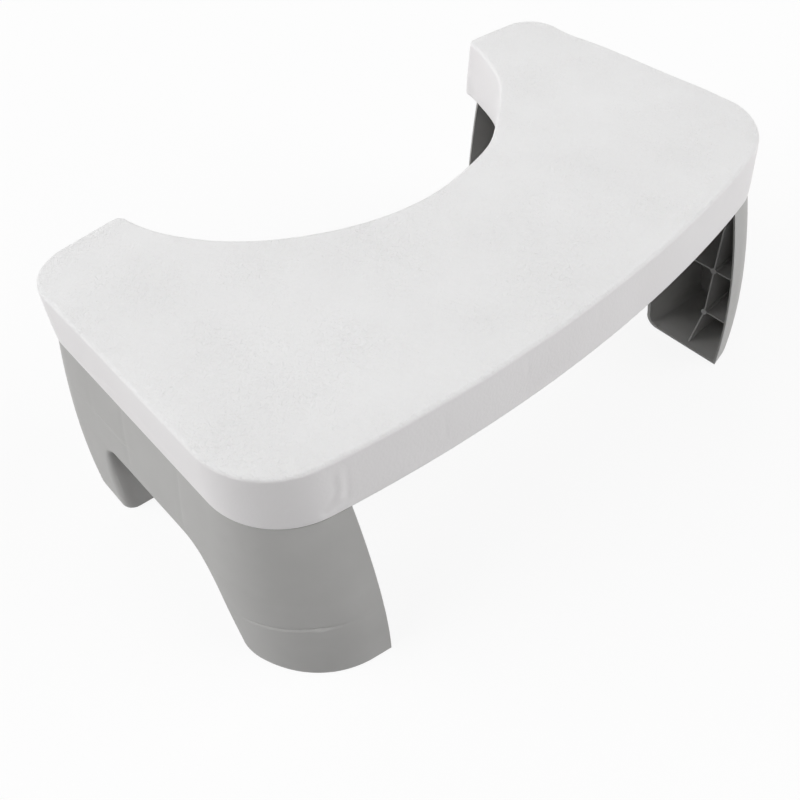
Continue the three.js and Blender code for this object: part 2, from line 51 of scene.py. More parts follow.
# Sizes of the deck in millimetres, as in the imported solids
STOOL_HEIGHT = 178.0
DECK_THICKNESS = 41.9
DECK_HALF_WIDTH = 227.3
DECK_SIDE_END = 255.9
ARM_END_RISE = 6.6
ARM_WIDTH = 74.1
FRONT_BOW = 26.7
FRONT_CORNER = 52.7
REAR_CORNER = 31.3
TIP_RADIUS = 7.7
CUT_HALF_WIDTH = DECK_HALF_WIDTH - ARM_WIDTH
CUT_DEPTH = 124.9
CUT_CENTRE = 265.3
CUT_POWER = 1.8
SKIN = 1.2
HEM = 12.0
CROWN_RISE = 0.6
CROWN_START = 5.0
CROWN_INSET = 20.0
FOAM_BOTTOM = 163.5
DECK_BOTTOM = STOOL_HEIGHT - DECK_THICKNESS
TOP_EDGE = STOOL_HEIGHT - CROWN_RISE

# Sizes of a leg in millimetres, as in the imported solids, but with slimmer ribs and bosses. The last of the
# ribs above the arch and the short level rib are only here.
LEG_DEPTH = 54.3
LEG_OPEN_X = DECK_HALF_WIDTH - LEG_DEPTH
LEG_WALL = 2.5
LEG_INSET = 0.8
FRONT_FLARE = 23.4
SIDE_FLARE = 14.6
REAR_FLARE = 10.4
FLARE_POWER = 1.92
LEG_TOP_PLATE = 3.0
LEG_FLOOR = 3.2
LEG_BOTTOM = 1.0
LEG_TOP = DECK_BOTTOM - 0.3
LEG_FAR_X = DECK_HALF_WIDTH + SIDE_FLARE + OVERRUN
LEG_BACK_Y = DECK_SIDE_END + REAR_FLARE + OVERRUN
ARCH_FRONT = 54.5
REAR_FOOT_LENGTH = 61.4
ARCH_REAR = DECK_SIDE_END - REAR_FOOT_LENGTH
ARCH_PEAK = 99.0
ARCH_PEAK_HEIGHT = 79.0
ARCH_REAR_HEIGHT = 75.5
ARCH_REAR_RADIUS = 17.0
ARCH_CREST_ROUND = 12.0
ARCH_DRAFT = 6.0
FOOT_CORNER = 11.0
RIB = 1.05
RIB_FRONT = 21.0
REAR_RIB_INSET = 14.9
RIB_REAR = DECK_SIDE_END - REAR_RIB_INSET
RIB_START = LEG_BOTTOM + 1.0
UPPER_RIB_HEIGHT = 75.3
UPPER_RIB = LEG_BOTTOM + UPPER_RIB_HEIGHT
UPPER_SETBACK = 8.0
LOWER_RIB_HEIGHT = 28.4
LOWER_RIB = LEG_BOTTOM + LOWER_RIB_HEIGHT
LOWER_SETBACK = 15.5
FLOOR_SETBACK = 4.0
SHORT_RIB = 104.0
SHORT_RIB_SETBACK = 38.0
SHORT_RIB_PLACE = (158.0, 226.0)
ARCH_RIB_SHARES = (0.33, 0.75, 1.04)
ARCH_RIBS = [ARCH_FRONT + (ARCH_REAR - ARCH_FRONT) * share for share in ARCH_RIB_SHARES]
BOSS_RADIUS = 2.4
BOSS_PROUD = 0.8
HINGE_DROP = 10.0
HINGE_Z = DECK_BOTTOM - HINGE_DROP
FRONT_HINGE_Y = 49.0
REAR_HINGE_INSET = 41.9
HINGE_STATIONS = (FRONT_HINGE_Y, DECK_SIDE_END - REAR_HINGE_INSET)
HINGE_GAP = 0.4
BARREL_RADIUS = 6.5
BORE_RADIUS = 2.8
BORE_REACH = 24.0
KNUCKLE_LENGTH = 15.0
KNUCKLE_WEB = 7.0
LUG_LENGTH = 8.0
LUG_OFFSET = KNUCKLE_LENGTH / 2 + HINGE_GAP + LUG_LENGTH / 2
NOTCH_DEPTH = 20.0
NOTCH_MARGIN = 1.0
PAD_POCKET = 1.5
PAD_INSET = 7.0
PAD_FOOT_MARGIN = 3.5
PAD_OPEN_MARGIN = 6.0


# Meshes

def to_world(points):
    points = np.asarray(points, float) * MM
    points[:, 1] += PLAN_SHIFT
    return points


def mesh_object(name, points, faces, smooth=True):
    mesh = bpy.data.meshes.new(name)
    mesh.from_pydata(to_world(points).tolist(), [], [list(face) for face in faces])
    mesh.update()
    if smooth:
        mesh.shade_smooth()
    made = bpy.data.objects.new(name, mesh)
    bpy.context.scene.collection.objects.link(made)
    return made


def duplicate(source, name):
    """A copy of an object with a mesh of its own."""
    made = source.copy()
    made.data = source.data.copy()
    made.name = name
    bpy.context.scene.collection.objects.link(made)
    return made


def ring_faces(rings, count):
    """Quads between rings of equal count that lie one after the other."""
    faces = []
    for r in range(rings - 1):
        for i in range(count):
            low = r * count + i
            after = r * count + (i + 1) % count
            faces.append((low, after, after + count, low + count))
    return faces


def ring_solid(rings):
    """A closed body through rings that run anticlockwise, the first at the bottom."""
    count = len(rings[0])
    faces = ring_faces(len(rings), count)
    faces.append(tuple(range(count - 1, -1, -1)))
    last = (len(rings) - 1) * count
    faces.append(tuple(range(last, last + count)))
    return mesh_object("tool", np.concatenate(rings), faces, smooth=False)


def box_solid(x0, x1, y0, y1, z0, z1):
    corners = [(x0, y0), (x1, y0), (x1, y1), (x0, y1)]
    return ring_solid([np.array([(x, y, z) for x, y in corners]) for z in (z0, z1)])


def bar_solid(axis, first, second, radius, start, end, sides=40):
    """A round bar along X, with its centre at first in Y and second in Z, or along Y, at first in Z and
    second in X."""
    angle = np.linspace(0, 2 * math.pi, sides, endpoint=False)
    a = first + radius * np.cos(angle)
    b = second + radius * np.sin(angle)
    rings = []
    for along in (start, end):
        at = np.full(sides, along)
        rings.append(np.stack([at, a, b] if axis == "x" else [b, at, a], 1))
    return ring_solid(rings)


def drop(thing):
    mesh = thing.data
    bpy.data.objects.remove(thing)
    bpy.data.meshes.remove(mesh)


def combine(body, tool, operation):
    """Joins, cuts or intersects two closed bodies and leaves the result in the first."""
    step = body.modifiers.new("combine", "BOOLEAN")
    step.operation = operation
    step.solver = "MANIFOLD"
    step.object = tool
    graph = bpy.context.evaluated_depsgraph_get()
    result = bpy.data.meshes.new_from_object(body.evaluated_get(graph))
    body.modifiers.clear()
    old = body.data
    body.data = result
    bpy.data.meshes.remove(old)
    drop(tool)
    return body


# The plan of the deck

STEPS = {"bow": 150, "front": 64, "side": 70, "rear": 26, "end": 20, "tip": 12, "cut": 130}
TIP_SEARCH_STEPS = 40
LEAST_RADIUS = 0.5


def arc(cx, cy, radius, start, end, count):
    """Points of an arc and the directions that face away from its centre."""
    angle = np.linspace(start, end, count)
    normal = np.stack([np.cos(angle), np.sin(angle)], 1)
    return np.array([cx, cy]) + radius * normal, normal


def line(start, end, normal, count):
    """Points between two others, without them."""
    share = np.linspace(0, 1, count + 2)[1:-1, None]
    points = np.asarray(start) * (1 - share) + np.asarray(end) * share
    return points, np.repeat(np.asarray(normal, float)[None], count, 0)


def cut_points(angle, away):
    """Points of the cut-out's edge at angles about its centre, moved into the deck."""
    angle = np.atleast_1d(angle)
    c, s = np.cos(angle), np.sin(angle)
    spread = np.abs(c) ** CUT_POWER + np.abs(s) ** CUT_POWER
    along = c / spread ** (1 / CUT_POWER)
    deep = s / spread ** (1 / CUT_POWER)
    normal = np.stack([
        -np.sign(c) * np.abs(along) ** (CUT_POWER - 1) / CUT_HALF_WIDTH,
        -np.sign(s) * np.abs(deep) ** (CUT_POWER - 1) / CUT_DEPTH,
    ], 1)
    normal /= np.linalg.norm(normal, axis=1)[:, None]
    points = np.stack([CUT_HALF_WIDTH * along, CUT_CENTRE + CUT_DEPTH * deep], 1)
    return points - normal * away, normal


def right_half(inset, steps):
    """The right half of the outline, front middle to cut-out middle, as named stretches."""
    bow_radius = (DECK_HALF_WIDTH ** 2 + FRONT_BOW ** 2) / (2 * FRONT_BOW)
    end = math.atan2(DECK_HALF_WIDTH - CUT_HALF_WIDTH, ARM_END_RISE)
    end_normal = np.array([math.cos(end), math.sin(end)])
    end_line = end_normal @ np.array([DECK_HALF_WIDTH, DECK_SIDE_END])

    front = max(FRONT_CORNER - inset, LEAST_RADIUS)
    front_x = DECK_HALF_WIDTH - inset - front
    front_y = bow_radius - math.sqrt((bow_radius - inset - front) ** 2 - front_x ** 2)
    bow_end = math.atan2(front_y - bow_radius, front_x)
    rear = max(REAR_CORNER - inset, LEAST_RADIUS)
    rear_x = DECK_HALF_WIDTH - inset - rear
    rear_y = (end_line - inset - rear - end_normal[0] * rear_x) / end_normal[1]

    tip = max(TIP_RADIUS - inset, LEAST_RADIUS)
    low, high = -math.pi / 4, math.pi / 4
    for _ in range(TIP_SEARCH_STEPS):
        middle = (low + high) / 2
        at = cut_points(middle, inset + tip)[0][0]
        over = end_normal @ at > end_line - inset - tip
        low, high = (low, middle) if over else (middle, high)
    tip_at, tip_normal = (v[0] for v in cut_points(low, inset + tip))
    tip_end = math.atan2(tip_normal[1], tip_normal[0]) % (2 * math.pi)

    made = {
        "bow": arc(0, bow_radius, bow_radius - inset, -math.pi / 2, bow_end, steps["bow"]),
        "front": arc(front_x, front_y, front, bow_end, 0, steps["front"] + 1),
        "rear": arc(rear_x, rear_y, rear, 0, end, steps["rear"]),
        "tip": arc(tip_at[0], tip_at[1], tip, end, tip_end, steps["tip"]),
    }
    made["front"] = tuple(v[1:] for v in made["front"])
    made["side"] = line(made["front"][0][-1], made["rear"][0][0], (1, 0), steps["side"])
    made["end"] = line(made["rear"][0][-1], made["tip"][0][0], end_normal, steps["end"])
    angles = np.linspace(low, -math.pi / 2, steps["cut"] + 1)[1:]
    made["cut"] = cut_points(angles, inset)
    return made


def outline(inset):
    """The whole outline, anticlockwise seen from above: points and the directions that face out."""
    half = right_half(inset, STEPS)
    order = ("bow", "front", "side", "rear", "end", "tip", "cut")
    points = np.concatenate([half[name][0] for name in order])
    normals = np.concatenate([half[name][1] for name in order])
    flip = np.array([-1.0, 1.0])
    return (
        np.concatenate([points, points[-2:0:-1] * flip]),
        np.concatenate([normals, normals[-2:0:-1] * flip]),
    )


BASE, BASE_NORMAL = outline(0.0)


def at_height(points, z):
    z = np.broadcast_to(np.asarray(z, float), (len(points),))
    return np.concatenate([points, z[:, None]], 1)


def distance_to_path(points, path, closed=False):
    """Distance of each point to a chain of straight stretches, or to a single point."""
    path = np.asarray(path, float)
    if closed:
        path = np.concatenate([path, path[:1]])
    best = np.linalg.norm(points - path[0], axis=1)
    for a, b in zip(path[:-1], path[1:]):
        way = b - a
        share = np.clip(((points - a) @ way) / max(way @ way, 1e-12), 0, 1)
        best = np.minimum(best, np.linalg.norm(points - a - share[:, None] * way, axis=1))
    return best


# Filling a ring with triangles

ROW_SHARE = 0.866
EDGE_CLEAR_SHARE = 0.55
EDGE_CLEAR_MOST = 1.4
MERGE_DISTANCE = 1e-7


def hexagonal_grid(low, high, spacing, fine):
    """Grid points between two corners. fine lists places with a reach and the closer spacing there."""
    rows = []
    for j, y in enumerate(np.arange(low[1], high[1], spacing * ROW_SHARE)):
        start = low[0] + (spacing / 2 if j % 2 else 0)
        xs = np.arange(start, high[0], spacing)
        rows.append(np.stack([xs, np.full(len(xs), y)], 1))
    grid = np.concatenate(rows)
    for centre, reach, step in fine:
        centre = np.asarray(centre, float)
        kept = grid[np.linalg.norm(grid - centre, axis=1) > reach]
        side = np.arange(-reach, reach + step, step)
        patch = np.stack(np.meshgrid(side, side), -1).reshape(-1, 2)
        patch = patch[np.linalg.norm(patch, axis=1) < reach - step / 3] + centre
        grid = np.concatenate([kept, patch])
    return grid


def is_inside(points, ring):
    inside = np.zeros(len(points), bool)
    for a, b in zip(ring, np.roll(ring, -1, 0)):
        if a[1] != b[1]:
            crosses = (a[1] > points[:, 1]) != (b[1] > points[:, 1])
            x = a[0] + (points[:, 1] - a[1]) / (b[1] - a[1]) * (b[0] - a[0])
            inside ^= crosses & (points[:, 0] < x)
    return inside


def fill(ring, spacing, fine=()):
    """The points added inside a ring, and triangles in which the ring's own points count first."""
    grid = hexagonal_grid(ring.min(0), ring.max(0), spacing, fine)
    grid = grid[is_inside(grid, ring)]
    gap = distance_to_path(grid, ring, closed=True)
    grid = grid[gap > min(spacing * EDGE_CLEAR_SHARE, EDGE_CLEAR_MOST)]
    corners = [Vector(point) for point in np.concatenate([ring, grid])]
    loop = list(range(len(ring)))
    places, _, triangles, sources = geometry.delaunay_2d_cdt(corners, [], [loop], 1, MERGE_DISTANCE)[:4]
    index = {}
    added = []
    for i, source in enumerate(sources):
        if source and source[0] < len(ring):
            index[i] = source[0]
        else:
            index[i] = len(ring) + len(added)
            added.append(tuple(places[i]))
    return np.array(added), [tuple(index[i] for i in face) for face in triangles]


# Padded top: skin and foam as one closed piece, hollow below where the tray sits

# How far the side leans in at its top: everywhere, and more where it faces the front, the back or the left
LEAN = 1.0
LEAN_FRONT = 1.7
LEAN_BACK = 0.6
LEAN_LEFT = 0.8
# Where it leans more, or less for a number below zero: millimetres, place on the plan, reach
LEAN_PLACES = [
    (2.1, (197, 26), 28),
    (-1.0, (224, 60), 16),
    (-1.7, (227, 92), 22),
    (2.6, (227, 212), 24),
    (2.1, (224, 222), 45),
]
# Where the wall is tucked in over its whole height: millimetres, place, reach, share lost towards the top
TUCK_PLACES = [
    (1.5, (150, 256), 15, 0.0),
    (2.6, (68, 155), 24, 0.0),
    (3.1, (130, 205), 20, 0.6),
]

# The skin's section: hem, rounded lower edge, slightly swollen side, rounded upper edge
HEM_LIFT = 0.15
HEM_ROUND = 0.1
# Insets of the rings under the deck, each with the share of the tuck and the sag that it follows
UNDER_RINGS = ((9.0, 0.3), (6.0, 0.7), (3.6, 1.0))
LOWER_EDGE = 1.3
LOWER_INSET = 0.2
SIDE_SWELL = 0.25
UPPER_EDGE = 2.6
LOWER_STEPS = 7
SIDE_STEPS = 24
UPPER_STEPS = 11

# The inner end of the right arm hangs a little below the rest of the deck's lower edge.
SAG = 1.8
SAG_PLACE = (150, 258)
SAG_REACH = 26
SAG_LIMIT_X = 170
SAG_FADE = 10

# Slow undulation of the skin: wavelength, seed, depth on the sides, depth on the top
SWELLS = [(46.0, 3.7, 0.3, 0.14), (19.0, 9.2, 0.07, 0.07)]
# More of it on the sides near the end of the right arm: wavelength, seed, depth, place, reach
ARM_SWELL = (24.0, 21.4, 0.8, (190, 262, 160), 60)
# The sides are where the skin faces up or down by less than this share.
SIDE_LIMIT = 0.75
# Up to this height above the deck's bottom the skin keeps still, and past the fade it moves fully.
STILL_HEIGHT = 1.0
STILL_FADE = 4.0

# Marks in the skin: depth, width and points in millimetres. A depth below zero makes a ridge.
MARKS = [
    # Two folds at the front left corner, the ridge between them and a dent
    (0.45, 2.0, [(-173.6, 15.5, 171.5), (-174.0, 15.5, 161.1), (-175.1, 15.7, 145.7), (-181.9, 17.0, 142.5),
                 (-187.8, 18.3, 140.9)]),
    (0.45, 2.0, [(-176.7, 15.8, 172.2), (-179.4, 16.5, 169.6), (-180.6, 16.8, 162.1), (-180.1, 16.7, 154.4),
                 (-184.1, 17.4, 149.0), (-188.6, 18.4, 143.1)]),
    (-0.4, 2.8, [(-176.9, 15.9, 166.0), (-177.6, 16.1, 156.0), (-179.0, 16.5, 148.0)]),
    (0.6, 2.2, [(-205.8, 26.8, 154.0)]),
    # Faint upright creases along the front
    (0.3, 1.6, [(-114, 6.4, 173), (-114, 6.4, 151)]),
    (0.3, 1.6, [(-57, 1.6, 175), (-55.5, 1.6, 158)]),
    (0.3, 1.6, [(0, 0, 176), (3, 0, 163)]),
    # Level creases on the left side, and a faint line along its top edge
    (0.35, 1.4, [(-227.3, 179.5, 148), (-227.3, 155.2, 152), (-227.3, 129.1, 150.6), (-227.3, 94.4, 150)]),
    (0.35, 1.4, [(-227.3, 206.3, 140), (-227.3, 195.2, 141.3), (-227.3, 173.4, 145.5)]),
    (0.16, 2.0, [(-220.6, 70, 177), (-221.2, 120, 177), (-220.8, 170, 177), (-219.5, 215, 177)]),
    # Small pits in the top
    (0.45, 1.2, [(6, 33.8, 178)]),
    (0.45, 1.2, [(21.1, 7.7, 177.7)]),
    (0.45, 1.3, [(28, 41.1, 178)]),
    (0.35, 1.3, [(-54.1, 89.8, 178)]),
    # Fine creases on the top at the front left corner
    (0.17, 0.7, [(-211.5, 59.7, 177.8), (-209.4, 54.9, 177.8)]),
    (0.17, 0.7, [(-206.2, 49, 177.8), (-203.9, 46.1, 177.8), (-202.8, 43.1, 177.8)]),
    (0.17, 0.7, [(-198.9, 41.4, 177.8), (-192.4, 35.3, 177.8)]),
    (0.17, 0.7, [(-206.5, 44.5, 177.8), (-200.4, 40.7, 177.8), (-195.7, 33.6, 177.8)]),
    (0.12, 0.8, [(-207.7, 35.6, 177.8), (-202.9, 29.5, 177.8), (-196.3, 22.4, 177.8)]),
]
# Marks that start above this height get a finer mesh round their points.
TOP_MARK_Z = 176.5
TOP_SPACING = 3.0
MARK_REACH = 4.5
MARK_SPACING = 0.6
CEILING_SPACING = 16.0
TOP_SHARP_ANGLE = math.radians(60)


def bump_at(points, centre, reach):
    away = np.linalg.norm(points - np.asarray(centre, float), axis=1)
    return np.exp(-(away / reach) ** 2)


def swell(points, scale, seed):
    """Slow, even undulation in -1..1, the same each run."""
    moved = points / scale + seed
    return np.array([noise.noise(Vector(p)) for p in moved])


def side_rise(z):
    """0 at the deck's bottom, 1 at its top."""
    return np.clip((np.asarray(z, float) - DECK_BOTTOM) / DECK_THICKNESS, 0, 1)


def drawn_in(base, normals, z):
    """How far the deck's side lies inside its outline at a height."""
    rise = side_rise(z)
    lean = LEAN + LEAN_FRONT * np.clip(-normals[:, 1], 0, 1) + LEAN_BACK * np.clip(normals[:, 1], 0, 1)
    lean += LEAN_LEFT * np.clip(-normals[:, 0], 0, 1)
    for depth, centre, reach in LEAN_PLACES:
        lean += depth * bump_at(base, centre, reach)
    inward = lean * rise
    for depth, centre, reach, fade in TUCK_PLACES:
        inward += depth * bump_at(base, centre, reach) * (1 - fade * rise)
    return inward


def at_side(inset, z, sag=0.0):
    """A ring on the deck's side at a height, which hangs by the sag at the bottom and not at the top."""
    moved = BASE - BASE_NORMAL * (inset + drawn_in(BASE, BASE_NORMAL, z))[:, None]
    return at_height(moved, z - sag * (1 - side_rise(z)))


def skin_rings(sag):
    """Rings of the skin from the inner edge of its hem, under the deck and up the side, to the top."""
    hem_edge = outline(HEM)[0]
    rings = [
        at_height(hem_edge, DECK_BOTTOM + SKIN - HEM_ROUND),
        at_height(outline(HEM + HEM_ROUND)[0], DECK_BOTTOM + SKIN / 2),
        at_height(hem_edge, DECK_BOTTOM + HEM_LIFT),
    ]
    inward = drawn_in(BASE, BASE_NORMAL, DECK_BOTTOM)
    for inset, share in UNDER_RINGS:
        points = outline(inset)[0] - BASE_NORMAL * (share * inward)[:, None]
        rings.append(at_height(points, DECK_BOTTOM - sag * share))
    for angle in np.linspace(0, math.pi / 2, LOWER_STEPS):
        inset = LOWER_INSET + LOWER_EDGE * (1 - math.sin(angle))
        rings.append(at_side(inset, DECK_BOTTOM + LOWER_EDGE * (1 - math.cos(angle)), sag))
    side_low = DECK_BOTTOM + LOWER_EDGE
    side_high = TOP_EDGE - UPPER_EDGE
    for share in np.linspace(0, 1, SIDE_STEPS)[1:-1]:
        inset = LOWER_INSET * (1 - share) - SIDE_SWELL * math.sin(math.pi * share)
        rings.append(at_side(inset, side_low + share * (side_high - side_low), sag))
    for angle in np.linspace(0, math.pi / 2, UPPER_STEPS):
        inset = UPPER_EDGE * (1 - math.cos(angle))
        rings.append(at_side(inset, TOP_EDGE - UPPER_EDGE * (1 - math.sin(angle)), sag))
    return rings


def crown_height(points):
    gap = distance_to_path(points, BASE, closed=True)
    share = np.clip((gap - CROWN_START) / (CROWN_INSET - CROWN_START), 0, 1)
    return TOP_EDGE + CROWN_RISE * share * (2 - share)


def skin_push(points, normals):
    """How far each point of the skin moves outwards: undulation and ridges, less the folds and creases."""
    on_side = np.abs(normals[:, 2]) < SIDE_LIMIT
    push = np.zeros(len(points))
    for scale, seed, side_depth, top_depth in SWELLS:
        push += np.where(on_side, side_depth, top_depth) * swell(points, scale, seed)
    scale, seed, depth, centre, reach = ARM_SWELL
    push += np.where(on_side, depth, 0.0) * bump_at(points, centre, reach) * swell(points, scale, seed)
    for depth, width, path in MARKS:
        push -= depth * np.exp(-(distance_to_path(points, path) / width) ** 2)
    # Nothing moves on the hem or where the piece rests on the tray.
    return push * np.clip((points[:, 2] - DECK_BOTTOM - STILL_HEIGHT) / STILL_FADE, 0, 1)


def padded_top():
    count = len(BASE)
    sag = SAG * bump_at(BASE, SAG_PLACE, SAG_REACH) * np.clip((SAG_LIMIT_X - BASE[:, 0]) / SAG_FADE, 0, 1)
    rings = skin_rings(sag)
    marked = [point[:2] for _, _, path in MARKS if path[0][2] > TOP_MARK_Z for point in path]
    fine = [(point, MARK_REACH, MARK_SPACING) for point in marked]
    inner, top_faces = fill(rings[-1][:, :2], TOP_SPACING, fine)
    outer = np.concatenate(rings + [at_height(inner, crown_height(inner))])
    faces = ring_faces(len(rings), count)
    top_start = (len(rings) - 1) * count
    faces += [tuple(i + top_start for i in face) for face in top_faces]

    # Inner wall and ceiling, which sit just outside the tray
    under = [
        at_height(outline(HEM)[0], DECK_BOTTOM + SKIN),
        at_side(SKIN, DECK_BOTTOM + SKIN),
        at_side(SKIN, FOAM_BOTTOM),
    ]
    ceiling, ceiling_faces = fill(under[-1][:, :2], CEILING_SPACING)
    start = len(outer)
    for low, after, after_up, low_up in ring_faces(len(under), count):
        faces.append((low + start, low_up + start, after_up + start, after + start))
    for i in range(count):
        after = (i + 1) % count
        faces.append((i, start + i, start + after, after))
    roof = start + (len(under) - 1) * count
    faces += [tuple(i + roof for i in reversed(face)) for face in ceiling_faces]

    points = np.concatenate([outer] + under + [at_height(ceiling, FOAM_BOTTOM)])
    made = mesh_object("padded_top", points, faces)
    mesh = made.data
    normals = np.zeros(len(mesh.vertices) * 3)
    mesh.vertices.foreach_get("normal", normals)
    normals = normals.reshape(-1, 3)[:start]
    points[:start] = outer + normals * skin_push(outer, normals)[:, None]
    mesh.vertices.foreach_set("co", to_world(points).ravel())
    mesh.update()
    mesh.set_sharp_from_angle(angle=TOP_SHARP_ANGLE)
    return made


# The tray is drawn in by the whole amount up to the first distance from the outline, and by none past
# the second.
TRAY_NEAR = 8.0
TRAY_FAR = 18.0


def drawn_tray(source):
    """The tray with its outer wall drawn in under the skin by as much as the skin."""
    made = duplicate(source, "tray_drawn_in")
    flat = np.zeros(len(made.data.vertices) * 3)
    made.data.vertices.foreach_get("co", flat)
    points = flat.reshape(-1, 3) / MM
    points[:, 1] -= PLAN_SHIFT / MM
    for point in points:
        away = np.linalg.norm(BASE - point[:2], axis=1)
        near = int(np.argmin(away))
        weight = min(max((TRAY_FAR - away[near]) / (TRAY_FAR - TRAY_NEAR), 0), 1)
        if weight > 0:
            at = slice(near, near + 1)
            inward = drawn_in(BASE[at], BASE_NORMAL[at], point[2])[0]
            point[:2] -= BASE_NORMAL[near] * weight * inward
    made.data.vertices.foreach_set("co", to_world(points).ravel())
    made.data.update()
    return made


# Legs

LEG_STEPS = {**STEPS, "bow": 240, "side": 60, "rear": 24}
LEG_END_STEPS = 18
LEG_SHARP_ANGLE = math.radians(28)


def leg_path():
    """The stretch of the outline that the right leg follows, run on past its open side at both ends."""
    half = right_half(LEG_INSET, LEG_STEPS)
    start_x = LEG_OPEN_X - OVERRUN / 2
    bow, bow_normal = half["bow"]
    keep = bow[:, 0] > start_x
    points = [bow[keep], half["front"][0], half["side"][0], half["rear"][0]]
    normals = [bow_normal[keep], half["front"][1], half["side"][1], half["rear"][1]]
    last, facing = points[-1][-1], normals[-1][-1]
    reach = (last[0] - start_x) / facing[1]
    finish = last + np.array([-facing[1], facing[0]]) * reach
    way, way_normal = line(last, finish, facing, LEG_END_STEPS)
    points += [way, finish[None]]
    normals += [way_normal, facing[None]]
    return np.concatenate(points), np.concatenate(normals)


PATH, PATH_NORMAL = leg_path()

# Sink marks that the ribs leave on the outside: one width, and a depth over each kind of rib
SINK_WIDTH = 1.2
UPPER_SINK = 0.135
SHORT_SINK = 0.405
ARCH_SINK = 0.36
SHORT_SINK_FADE = 8.0
ARCH_SINK_START = 84.0
ARCH_SINK_FADE = 4.0
# The ribs above the arch mark the wall only where it faces sideways by more than this share.
SIDE_FACING = 0.99
# The line round the front foot: its height, depth and fall, and the dimple on it
FOOT_LINE = 53.5
FOOT_LINE_SINK = 0.765
FOOT_LINE_FALL = 0.28
FOOT_LINE_LEVEL_Y = 30.0
FOOT_LINE_FALL_RUN = 30.0
FOOT_LINE_END_Y = 62.0
FOOT_LINE_END_FADE = 12.0
FOOT_LINE_STRONG_X = 190.0
FOOT_LINE_STRONG_FADE = 10.0
FOOT_LINE_FAINT_SHARE = 0.25
DIMPLE = np.array([203.2, 26.0])
DIMPLE_Z = FOOT_LINE - 0.4
DIMPLE_DEPTH = 1.5
DIMPLE_WIDTH = 1.6
DIMPLE_HEIGHT = 1.4
# Levels added to the shell's mesh round the marks
RIB_MARK_LEVELS = np.linspace(-3.6, 3.6, 9)
FOOT_LINE_LEVELS = np.linspace(-10, 4, 21)
LEVEL_CLEAR = 0.5
# The walls and the floor thin towards the open side.
RIM_THIN = 1.1
RIM_REACH = 9.0
FLOOR_THIN = 1.7
FLOOR_FADE = 12.0
FLOOR_RUN = 5.0
FLOOR_OVER = 0.2
FLOOR_ROOM_HEIGHT = 12.0
FLOOR_WALL_CLEAR = 0.4
# Rounded outer edges: all round the arch, and more where the rear foot stands beside it
EDGE_ROUND = 0.9
FOOT_ROUND = 8.5
FOOT_ROUND_START_Y = ARCH_PEAK + 30
FOOT_ROUND_TOP = ARCH_REAR_HEIGHT + 4
FOOT_ROUND_RUN = 40.0
FOOT_ROUND_LEAST_SHARE = 0.3
ROUND_STEPS = 7
MOUTH_OUT = 0.7
MOUTH_WIDER = 3.0


def flare_at(z):
    down = np.clip((LEG_TOP - np.asarray(z, float)) / LEG_TOP, 0, 1)
    return 1 - (1 - down) ** FLARE_POWER


def sink_at(z):
    """How far the leg's outside lies in along its path at a height, at the marks."""
    x, y = PATH.T
    # The line round the front foot ends at a small dimple and goes on more faintly.
    fall = np.clip(y - FOOT_LINE_LEVEL_Y, 0, FOOT_LINE_FALL_RUN)
    line_z = FOOT_LINE - FOOT_LINE_FALL * fall
    strength = np.clip((FOOT_LINE_END_Y - y) / FOOT_LINE_END_FADE, 0, 1)
    strength *= np.clip((x - FOOT_LINE_STRONG_X) / FOOT_LINE_STRONG_FADE, FOOT_LINE_FAINT_SHARE, 1)
    inward = FOOT_LINE_SINK * strength * np.exp(-((z - line_z) / SINK_WIDTH) ** 2)
    away = np.linalg.norm(PATH - DIMPLE, axis=1) / DIMPLE_WIDTH
    inward += DIMPLE_DEPTH * np.exp(-away ** 2 - ((z - DIMPLE_Z) / DIMPLE_HEIGHT) ** 2)
    inward += UPPER_SINK * math.exp(-((z - UPPER_RIB) / SINK_WIDTH) ** 2)
    start, end = SHORT_RIB_PLACE
    behind = np.clip((y - start) / SHORT_SINK_FADE + 1, 0, 1) * np.clip((end - y) / SHORT_SINK_FADE, 0, 1)
    inward += SHORT_SINK * behind * math.exp(-((z - SHORT_RIB) / SINK_WIDTH) ** 2)
    above = min(max((z - ARCH_SINK_START) / ARCH_SINK_FADE, 0), 1)
    on_side = PATH_NORMAL[:, 0] > SIDE_FACING
    for at in ARCH_RIBS:
        mark = np.exp(-((y - at) / SINK_WIDTH) ** 2)
        inward += ARCH_SINK * above * np.where(on_side, mark, 0)
    return inward


def leg_ring(z, wall, marked, thin_rim):
    flare = flare_at(z)
    along_y = np.where(PATH_NORMAL[:, 1] < 0, FRONT_FLARE, REAR_FLARE)
    inward = wall - thin_rim * np.exp(-np.clip(PATH[:, 0] - LEG_OPEN_X, 0, None) / RIM_REACH)
    if marked:
        inward += sink_at(z)
    x = PATH[:, 0] + PATH_NORMAL[:, 0] * (SIDE_FLARE * flare - inward)
    y = PATH[:, 1] + PATH_NORMAL[:, 1] * (along_y * flare - inward)
    x[0] = x[-1] = LEG_OPEN_X - OVERRUN - wall
    return np.stack([x, y, np.full(len(x), z)], 1)


def leg_body(z0, z1, wall, step=2.4, marked=False, thin_rim=0.0):
    """The leg's flared form between two heights, moved inwards by wall."""
    levels = np.linspace(z0, z1, max(int((z1 - z0) / step), 2))
    if marked:
        near = [at + shift for at in (UPPER_RIB, SHORT_RIB) for shift in RIB_MARK_LEVELS]
        near += list(FOOT_LINE + FOOT_LINE_LEVELS)
        levels = np.array([z for z in levels if min(abs(z - n) for n in near) > LEVEL_CLEAR])
        levels = np.sort(np.concatenate([levels, near]))
    return ring_solid([leg_ring(z, wall, marked, thin_rim) for z in levels])


def curve_points(control, count):
    """Points of the curve that a chain of control points draws."""
    t = np.linspace(0, 1, count)[:, None]
    control = [np.array(c, float) for c in control]
    while len(control) > 1:
        control = [a * (1 - t) + b * t for a, b in zip(control[:-1], control[1:])]
    return control[0]


